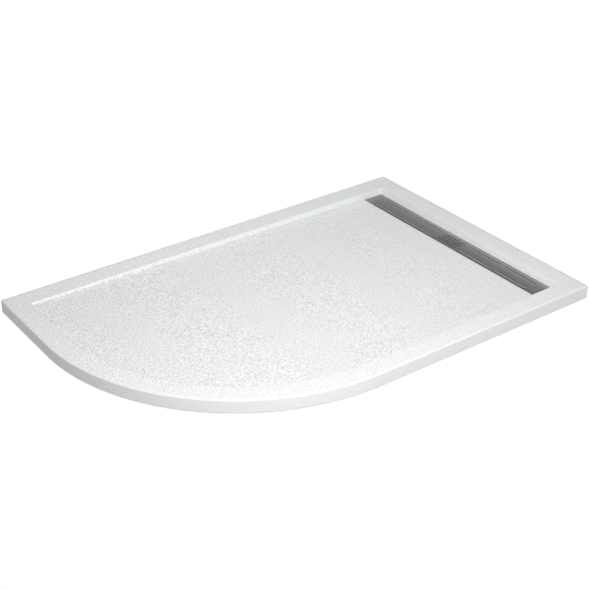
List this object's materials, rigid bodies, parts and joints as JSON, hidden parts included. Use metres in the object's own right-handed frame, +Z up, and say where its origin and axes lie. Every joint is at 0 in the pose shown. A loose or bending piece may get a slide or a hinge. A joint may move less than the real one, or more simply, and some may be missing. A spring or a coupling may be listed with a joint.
{
  "type": "shower tray",
  "caption": "Low framed shower tray with one large rounded corner, a slate-effect floor that falls to a linear drain, a lift-out slotted cover and a trap below.",
  "frame": {"origin": "middle of the tray's 1200 by 800 rectangle, on the flat underside that is bedded on the floor", "axes": "+X along the long side to the drain end, +Y to the long side without the rounded corner, +Z up"},
  "size_m": [1.2, 0.8, 0.11],
  "materials": {
    "tray_resin": "cast slate-effect resin, satin white",
    "cover_steel": "fine brushed stainless, dark grey",
    "waste_steel": "turned stainless",
    "seal_rubber": "black rubber",
    "trap_plastic": "white moulded polypropylene",
    "tube_plastic": "grey moulded polypropylene"
  },
  "bodies": {
    "tray": {"tray_body": "tray_resin", "waste_flange": "waste_steel", "flange_seal": "seal_rubber", "tray_seal": "seal_rubber", "trap_body": "trap_plastic", "trap_base": "trap_plastic", "trap_base_ring": "seal_rubber", "outlet_nut": "trap_plastic", "outlet_thrust_ring": "tube_plastic", "outlet_seal": "seal_rubber"},
    "cover": {"cover_plate": "cover_steel", "cover_brackets": "waste_steel", "cover_pads": "seal_rubber"},
    "hair_catcher": {"hair_catcher": "waste_steel"},
    "dip_tube": {"dip_tube": "tube_plastic", "dip_tube_ring": "seal_rubber"}
  },
  "joints": [
    {"name": "cover_lift", "type": "slide", "parent": "tray", "child": "cover", "axis": [0, 0, 1], "range_m": [0, 0.22]},
    {"name": "hair_catcher_lift", "type": "slide", "parent": "tray", "child": "hair_catcher", "axis": [0, 0, 1], "range_m": [0, 0.165]},
    {"name": "dip_tube_lift", "type": "slide", "parent": "tray", "child": "dip_tube", "axis": [0, 0, 1], "range_m": [0, 0.11]}
  ],
  "couplings": [
    {"joint": "hair_catcher_lift", "follows": "cover_lift", "ratio": 0.75},
    {"joint": "dip_tube_lift", "follows": "cover_lift", "ratio": 0.5}
  ]
}
